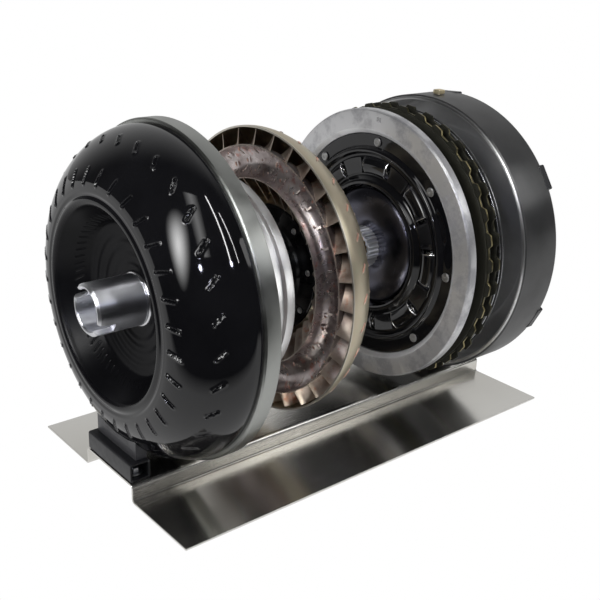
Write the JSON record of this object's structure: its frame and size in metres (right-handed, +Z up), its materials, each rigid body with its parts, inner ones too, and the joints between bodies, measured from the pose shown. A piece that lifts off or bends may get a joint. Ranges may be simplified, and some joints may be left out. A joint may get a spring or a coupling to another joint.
{
  "type": "torque converter display",
  "caption": "Lock-up torque converter spread along one arbor on a folded sheet stand: pump, stator, turbine, damper, clutch plates, piston and cover drum.",
  "frame": {"origin": "on the ground under the middle of the object's bounding box", "axes": "+Y along the arbor from the pump hub to the cover, +X to the right, +Z up"},
  "size_m": [0.3048, 0.475, 0.3265],
  "materials": {
    "stainless_sheet": "brushed, slightly smeared",
    "satin_black": "satin paint",
    "zinc": "zinc plated",
    "ground_steel": "ground",
    "gloss_black": "high gloss paint",
    "machined_steel": "turned face",
    "polished_steel": "polished",
    "brazed_vanes": "copper brazed, heat stained",
    "bronze": "sintered bronze",
    "cast_aluminium": "cast, machined rim",
    "tan_shell": "gold tinted steel with braze marks",
    "dark_steel": "dark oiled",
    "spring_steel": "bright wire",
    "friction_core": "gold tinted edge",
    "friction_lining": "olive black paper lining",
    "graphite_steel": "dark satin with turned inside",
    "yellow_brass": "brass",
    "seal_rubber": "matt"
  },
  "bodies": {
    "stand": {"base_plate": "stainless_sheet", "front_bracket": "satin_black", "bracket_washer": "zinc", "bracket_bolt": "zinc", "cradle": "satin_black", "rear_upright": "satin_black", "upright_bolt_left": "zinc", "upright_bolt_right": "zinc", "arbor": "ground_steel", "arbor_nut": "zinc", "arbor_end_collar": "zinc", "spacer_pump": "zinc", "spacer_stator": "zinc", "spacer_turbine": "zinc", "spacer_clutch": "zinc", "stator_inner_race": "ground_steel"},
    "impeller": {"impeller_shell": "gloss_black", "impeller_ring": "machined_steel", "impeller_hub": "polished_steel", "impeller_vanes": "brazed_vanes", "impeller_bush": "bronze"},
    "stator": {"stator_wheel": "cast_aluminium", "stator_cam": "ground_steel", "stator_rollers": "ground_steel", "stator_front_bearing": "zinc", "stator_rear_bearing": "zinc"},
    "turbine": {"turbine_shell": "tan_shell", "turbine_vanes": "brazed_vanes", "turbine_hub": "gloss_black", "turbine_bush": "bronze"},
    "damper_output": {"damper_hub": "dark_steel", "damper_hub_bush": "bronze"},
    "damper": {"damper_ring": "machined_steel", "damper_plate": "gloss_black", "damper_drive_plate": "dark_steel", "damper_spring_1": "spring_steel", "damper_spring_2": "spring_steel", "damper_spring_3": "spring_steel", "damper_spring_4": "spring_steel", "damper_spring_5": "spring_steel", "damper_spring_6": "spring_steel", "damper_spring_7": "spring_steel", "damper_spring_8": "spring_steel", "damper_rivet_1": "zinc", "damper_rivet_2": "zinc", "damper_rivet_3": "zinc", "damper_rivet_4": "zinc", "damper_rivet_5": "zinc", "damper_rivet_6": "zinc", "damper_rivet_7": "zinc", "damper_rivet_8": "zinc"},
    "cover": {"cover_drum": "graphite_steel", "cover_bush": "bronze", "drain_plug": "yellow_brass"},
    "clutch_disc": {"friction_disc": "friction_core", "front_facing": "friction_lining", "rear_facing": "friction_lining"},
    "separator": {"separator_plate": "friction_core"},
    "piston": {"clutch_piston": "ground_steel", "piston_seal": "seal_rubber"}
  },
  "joints": [
    {"name": "impeller_spin", "type": "hinge", "parent": "stand", "child": "impeller", "pos_m": [0, -0.18, 0.1725], "axis": [0, 1, 0], "continuous": true},
    {"name": "stator_spin", "type": "hinge", "parent": "stand", "child": "stator", "pos_m": [0, -0.1085, 0.1725], "axis": [0, 1, 0], "continuous": true},
    {"name": "turbine_spin", "type": "hinge", "parent": "stand", "child": "turbine", "pos_m": [0, -0.035, 0.1725], "axis": [0, 1, 0], "continuous": true},
    {"name": "damper_output_spin", "type": "hinge", "parent": "stand", "child": "damper_output", "pos_m": [0, 0.09, 0.1725], "axis": [0, 1, 0], "continuous": true},
    {"name": "damper_twist", "type": "hinge", "parent": "damper_output", "child": "damper", "pos_m": [0, 0.09, 0.1725], "axis": [0, 1, 0], "range_deg": [-6, 6], "stiffness_Nm_per_rad": 120},
    {"name": "cover_spin", "type": "hinge", "parent": "stand", "child": "cover", "pos_m": [0, 0.2, 0.1725], "axis": [0, 1, 0], "continuous": true},
    {"name": "piston_apply", "type": "slide", "parent": "cover", "child": "piston", "axis": [0, -1, 0], "range_m": [0, 0.003]},
    {"name": "separator_slide", "type": "slide", "parent": "cover", "child": "separator", "axis": [0, -1, 0], "range_m": [0, 0.0021]},
    {"name": "clutch_disc_slide", "type": "slide", "parent": "cover", "child": "clutch_disc", "axis": [0, -1, 0], "range_m": [0, 0.0011]}
  ],
  "couplings": [
    {"joint": "cover_spin", "follows": "impeller_spin", "ratio": 1},
    {"joint": "damper_output_spin", "follows": "turbine_spin", "ratio": 1},
    {"joint": "separator_slide", "follows": "piston_apply", "ratio": 0.6667},
    {"joint": "clutch_disc_slide", "follows": "piston_apply", "ratio": 0.3333}
  ]
}
